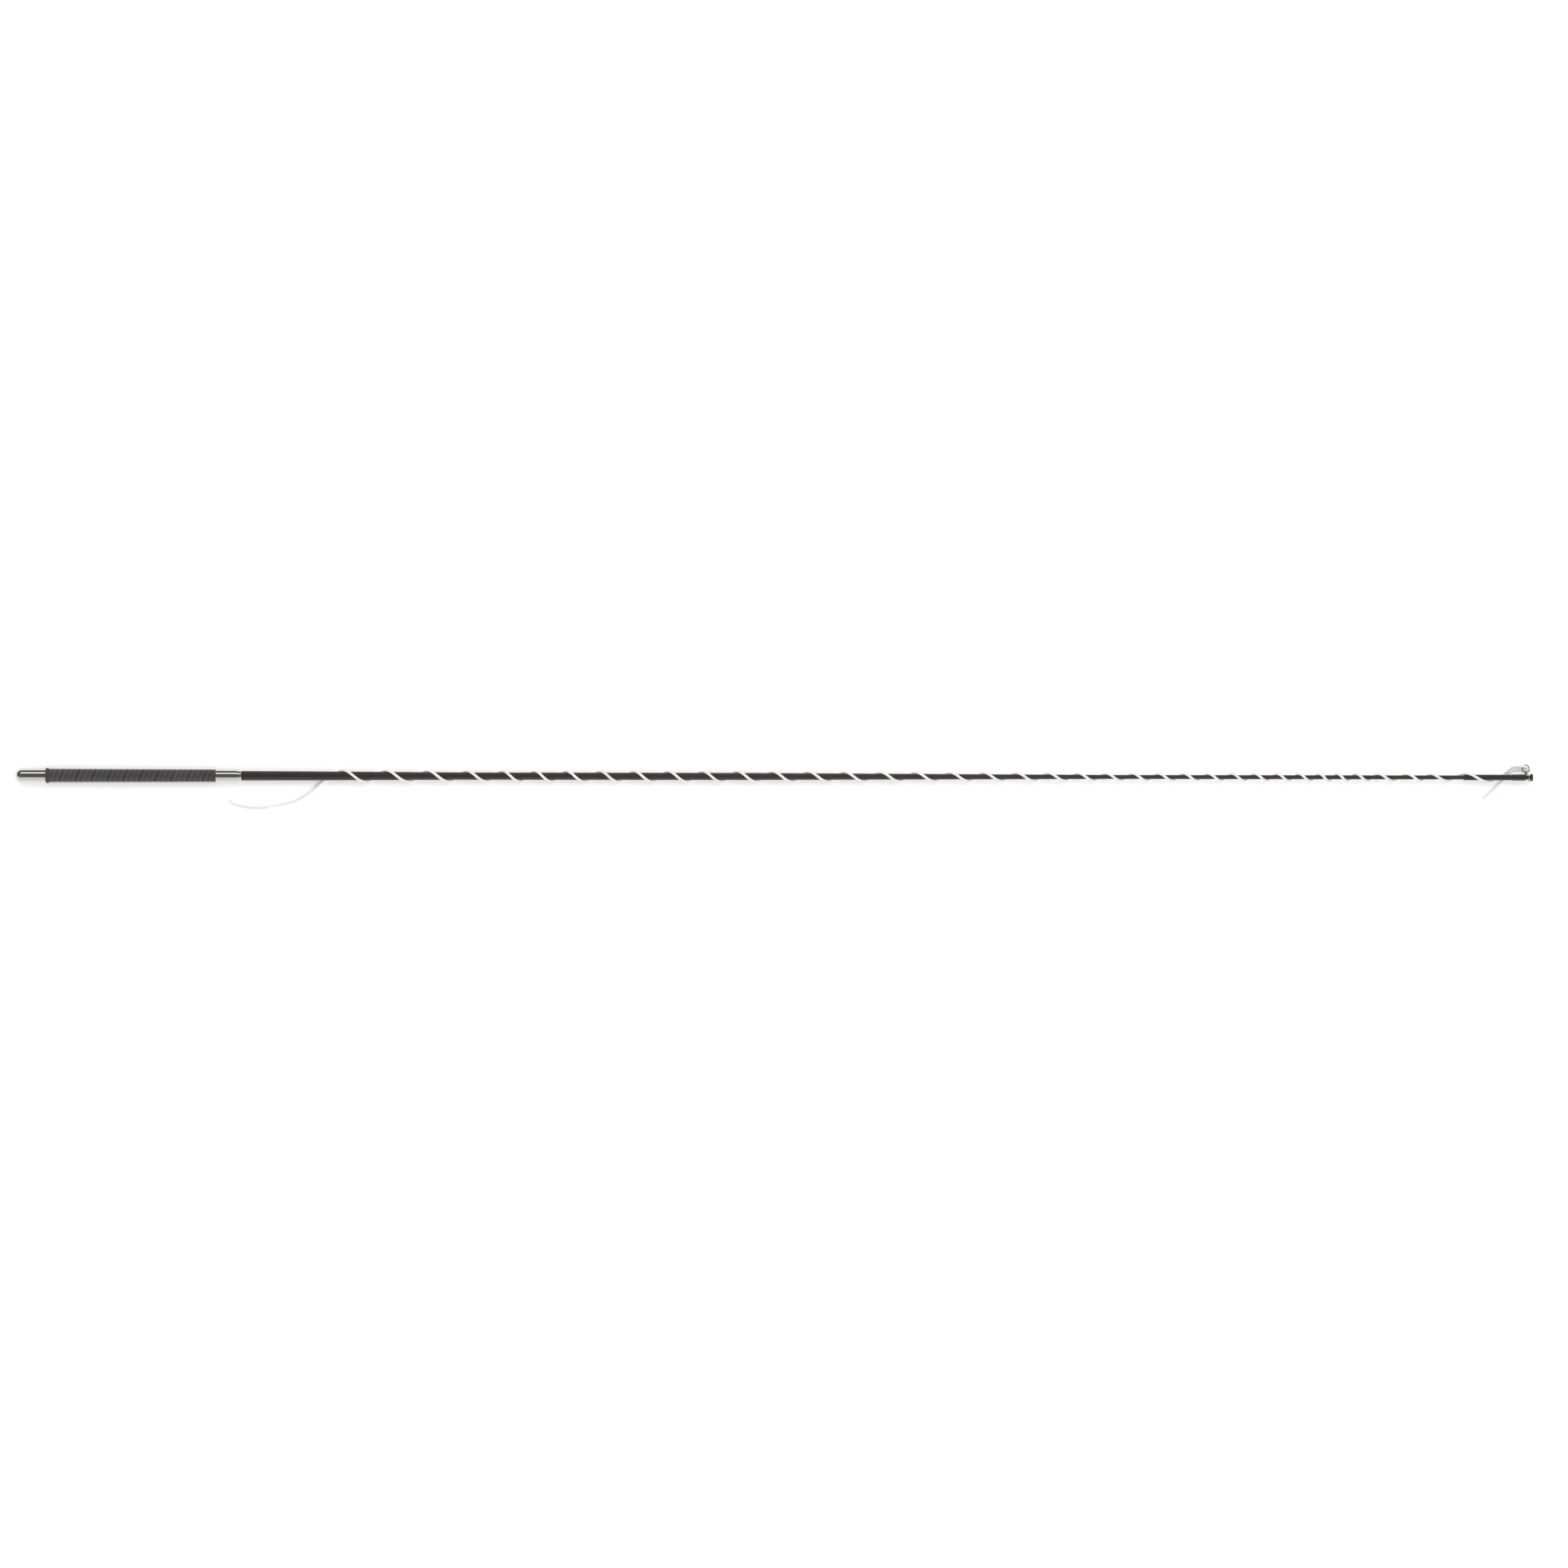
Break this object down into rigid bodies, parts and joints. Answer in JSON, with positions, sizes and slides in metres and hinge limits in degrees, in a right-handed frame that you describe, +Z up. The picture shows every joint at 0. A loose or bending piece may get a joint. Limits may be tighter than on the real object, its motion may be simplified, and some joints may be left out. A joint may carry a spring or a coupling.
{
  "type": "lunge whip",
  "caption": "Long tapered horse whip with a domed metal butt cap, a wound ribbed grip, a front ferrule, and a white cord lash spiralled along its braided stock from a tip swivel.",
  "frame": {"origin": "on the stock's axis, half way along the straight wall of the butt cap", "axes": "+X along the stock from the butt to the tip, +Z up from the flat surface that the whip lies on, +Y to the side that the swivel's bow lies on"},
  "size_m": [1.8, 0.055, 0.0179],
  "materials": {
    "polished_chrome": "polished chrome plate on brass",
    "steel_wire": "bright drawn steel wire",
    "weight_steel": "turned mild steel",
    "glass_fibre": "pultruded glass fibre, ground to a taper",
    "dark_braid": "fine dark brown nylon braid, lacquered",
    "grip_strip": "grained dark grey strip, ribbed",
    "grip_collar": "matt black rubber",
    "cloth_tape": "woven cloth tape",
    "nylon": "moulded black nylon",
    "tip_black": "black lacquer",
    "white_cord": "white braided nylon cord"
  },
  "bodies": {
    "root": {"core_rod": "glass_fibre", "braided_cover": "dark_braid", "butt_cap": "polished_chrome", "butt_weight": "weight_steel", "butt_plug": "nylon", "grip_collar": "grip_collar", "grip_tape": "cloth_tape", "grip_strip": "grip_strip", "front_ferrule": "polished_chrome", "ferrule_bush": "nylon", "tip_sleeve": "tip_black", "tip_socket": "tip_black", "tip_post": "tip_black", "lash_lead": "white_cord", "lash_winding": "white_cord", "lash_tail": "white_cord", "lash_short_end": "white_cord"},
    "ring": {"swivel_ring": "steel_wire", "swivel_barrel": "steel_wire"},
    "bow": {"swivel_bow": "steel_wire", "lash_eye": "white_cord"}
  },
  "joints": [
    {"name": "ring_spin", "type": "hinge", "parent": "root", "child": "ring", "pos_m": [1.77186, 0, 0], "axis": [1, 0, 0], "continuous": true},
    {"name": "bow_swivel", "type": "hinge", "parent": "ring", "child": "bow", "pos_m": [1.76981, 0.00556, -0.00225], "axis": [0, 0.9272, -0.3746], "range_deg": [-40, 40]}
  ]
}
